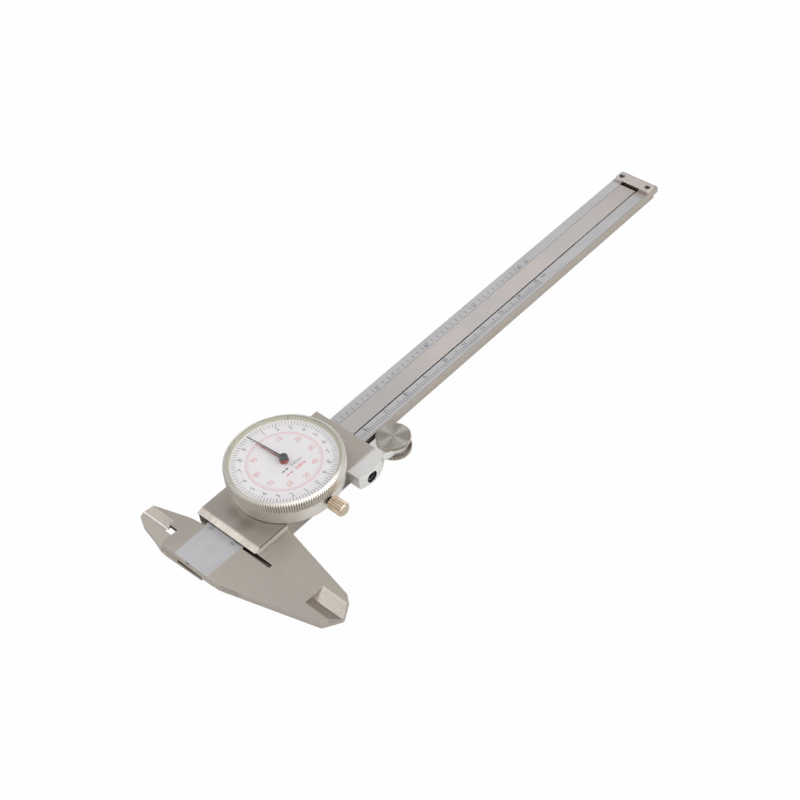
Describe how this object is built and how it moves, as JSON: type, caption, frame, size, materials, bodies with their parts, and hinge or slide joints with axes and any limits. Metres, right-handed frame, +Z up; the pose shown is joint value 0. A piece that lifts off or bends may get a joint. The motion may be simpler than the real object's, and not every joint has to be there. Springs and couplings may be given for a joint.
{
  "type": "dial caliper",
  "caption": "Dual-reading dial caliper with outside and inside jaws, depth rod, rack-driven two-hand dial, thumb roller, bezel lock and slide lock.",
  "frame": {"origin": "on the beam's centre line, in the plane of the closed outside jaw faces and of the back plate's back face", "axes": "+X along the beam from the jaws to the far end, +Y across the beam towards the inside jaws, +Z up to the dial"},
  "size_m": [0.2338, 0.0775, 0.0181],
  "materials": {
    "beam_steel": "fine ground stainless steel",
    "scale_strip": "satin stainless steel strip",
    "rack_steel": "machined steel",
    "slider_steel": "fine ground stainless steel",
    "screw_steel": "dark oiled steel",
    "gib_brass": "plain brass",
    "case_metal": "satin anodised",
    "bezel_metal": "turned and knurled",
    "movement_brass": "lapped brass",
    "train_brass": "cut brass wheels",
    "arbor_steel": "hardened steel",
    "black_lacquer": "blued and lacquered",
    "red_lacquer": "red lacquer",
    "dial_white": "matt white print",
    "ring_cream": "cream moulded ring",
    "window": "clear acrylic window",
    "lock_brass": "pale nickel-brass",
    "block_alloy": "bright machined aluminium",
    "roller_steel": "turned steel"
  },
  "bodies": {
    "beam": {"beam": "beam_steel", "rack": "rack_steel", "rack_cover": "scale_strip", "rack_screws": "screw_steel", "end_stop": "beam_steel", "end_stop_screws": "screw_steel"},
    "slider": {"slider_frame": "slider_steel", "back_plate": "slider_steel", "back_plate_screws": "slider_steel", "gib_strip": "gib_brass", "gib_screws": "screw_steel", "depth_rod": "slider_steel", "depth_rod_screws": "slider_steel", "dial_case": "case_metal", "case_screws": "screw_steel", "movement_plate": "movement_brass", "movement_pillars": "movement_brass", "movement_bridge": "movement_brass", "movement_screws": "screw_steel", "arbor_bush": "movement_brass", "roller_block": "block_alloy", "block_screw": "screw_steel"},
    "gear_arbor": {"gear_arbor": "arbor_steel", "mm_wheel": "train_brass", "inch_wheel": "train_brass"},
    "mm_hand": {"centre_arbor": "arbor_steel", "black_hand": "black_lacquer"},
    "inch_hand": {"cannon_pinion": "arbor_steel", "red_hand": "red_lacquer"},
    "bezel": {"bezel": "bezel_metal", "bezel_snap_ring": "arbor_steel", "dial_face": "dial_white", "dial_ring": "ring_cream", "crystal": "window"},
    "bezel_lock": {"bezel_lock_screw": "lock_brass"},
    "slide_lock": {"slide_lock_screw": "roller_steel"},
    "roller": {"roller_upper": "roller_steel", "roller_lower": "roller_steel"}
  },
  "joints": [
    {"name": "slide", "type": "slide", "parent": "beam", "child": "slider", "axis": [1, 0, 0], "range_m": [0, 0.15]},
    {"name": "arbor_turn", "type": "hinge", "parent": "slider", "child": "gear_arbor", "pos_m": [0.01865, -0.00285, 0.008], "axis": [0, 0, 1], "range_deg": [-15, 4267]},
    {"name": "mm_hand_turn", "type": "hinge", "parent": "slider", "child": "mm_hand", "pos_m": [0.027, 0, 0.015], "axis": [0, 0, 1], "range_deg": [-27091, 91]},
    {"name": "inch_hand_turn", "type": "hinge", "parent": "slider", "child": "inch_hand", "pos_m": [0.027, 0, 0.015], "axis": [0, 0, 1], "range_deg": [-21331, 71]},
    {"name": "roller_turn", "type": "hinge", "parent": "slider", "child": "roller", "pos_m": [0.0616, -0.01395, 0.003], "axis": [0, 0, 1], "range_deg": [-5, 1475]},
    {"name": "bezel_turn", "type": "hinge", "parent": "slider", "child": "bezel", "pos_m": [0.027, 0, 0.014], "axis": [0, 0, 1], "continuous": true},
    {"name": "bezel_lock_turn", "type": "hinge", "parent": "slider", "child": "bezel_lock", "pos_m": [0.027, -0.02, 0.0096], "axis": [0, 1, 0], "range_deg": [-180, 180]},
    {"name": "slide_lock_turn", "type": "hinge", "parent": "slider", "child": "slide_lock", "pos_m": [0.027, 0.014, 0.00335], "axis": [0, 1, 0], "range_deg": [-180, 180]}
  ],
  "couplings": [
    {"joint": "arbor_turn", "follows": "slide", "rad_per_m": 494.74},
    {"joint": "mm_hand_turn", "follows": "slide", "rad_per_m": -3141.6},
    {"joint": "inch_hand_turn", "follows": "slide", "rad_per_m": -2473.7},
    {"joint": "roller_turn", "follows": "slide", "rad_per_m": 170.94}
  ]
}
